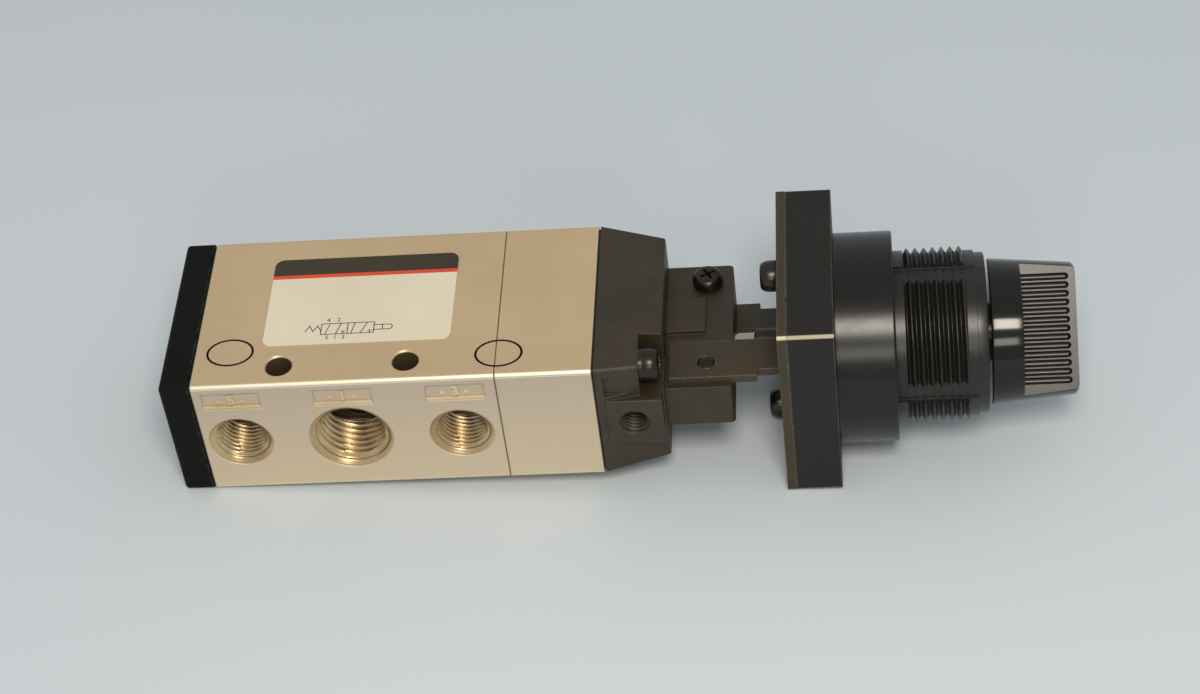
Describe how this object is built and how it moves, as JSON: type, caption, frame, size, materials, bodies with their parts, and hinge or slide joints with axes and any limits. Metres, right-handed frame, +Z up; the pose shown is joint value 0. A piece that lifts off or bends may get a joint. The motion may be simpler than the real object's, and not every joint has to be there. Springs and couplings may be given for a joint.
{
  "type": "mechanical valve",
  "caption": "Pilot-operated spool valve with a twist-selector panel operator, joined by a bent steel bracket; threaded ports in the light metal body.",
  "frame": {"origin": "on the valve axis, in the plane where the operator's collar meets the panel", "axes": "+X along the valve axis, from the end cover to the knob; +Z up through the labelled top of the body; +Y to the back"},
  "size_m": [0.1563, 0.0374, 0.0374],
  "materials": {
    "die_cast": "satin silver paint on a die casting",
    "black_paint": "satin",
    "black_steel": "satin",
    "black_resin": "fine grain",
    "gloss_black": "gloss",
    "dark_bushing": "satin",
    "dark_screw": "black plated",
    "steel": "ground",
    "spool_metal": "turned",
    "brass": "turned",
    "rod_resin": "plain",
    "seal_rubber": "plain",
    "label_film": "printed film"
  },
  "bodies": {
    "housing": {"valve_body": "die_cast", "adapter_body": "die_cast", "end_cover": "black_paint", "mount_bracket": "black_steel", "pilot_body": "black_resin", "actuator_block": "black_resin", "operator_base": "black_resin", "base_collar": "gloss_black", "threaded_bushing": "dark_bushing", "end_cover_screws": "dark_screw", "adapter_screws": "dark_screw", "pilot_body_screws": "dark_screw", "pilot_screw_washers": "dark_screw", "block_screws": "dark_screw", "bracket_screws": "dark_screw", "base_screws": "dark_screw", "spool_return_spring": "steel", "pilot_spring": "steel", "push_rod_spring": "steel", "pilot_spring_seat": "brass", "cam_sleeve": "rod_resin", "end_cover_gasket": "seal_rubber", "body_gasket": "seal_rubber", "pilot_gasket": "seal_rubber", "shaft_seal": "seal_rubber", "type_label": "label_film"},
    "selector": {"knob": "gloss_black", "selector_shaft": "steel"},
    "cam_rod": {"push_rod": "rod_resin", "cam_pin": "steel"},
    "plunger": {"pilot_plunger": "steel", "plunger_seal": "seal_rubber", "pilot_poppet": "seal_rubber"},
    "spool": {"main_spool": "spool_metal", "spool_seals": "seal_rubber", "drive_piston": "spool_metal", "piston_seal": "seal_rubber"}
  },
  "joints": [
    {"name": "knob_turn", "type": "hinge", "parent": "housing", "child": "selector", "pos_m": [0, 0, 0], "axis": [-1, 0, 0], "range_deg": [0, 90]},
    {"name": "rod_push", "type": "slide", "parent": "housing", "child": "cam_rod", "axis": [-1, 0, 0], "range_m": [0, 0.0015], "deforming": ["push_rod_spring"]},
    {"name": "plunger_push", "type": "slide", "parent": "housing", "child": "plunger", "axis": [-1, 0, 0], "range_m": [0, 0.0015], "deforming": ["pilot_spring"]},
    {"name": "spool_shift", "type": "slide", "parent": "housing", "child": "spool", "axis": [-1, 0, 0], "range_m": [0, 0.0026], "stiffness_N_per_m": 400, "springref_m": -0.003, "deforming": ["spool_return_spring"]}
  ],
  "couplings": [
    {"joint": "rod_push", "follows": "knob_turn", "m_per_rad": 0.00095493},
    {"joint": "plunger_push", "follows": "knob_turn", "m_per_rad": 0.00095493}
  ]
}
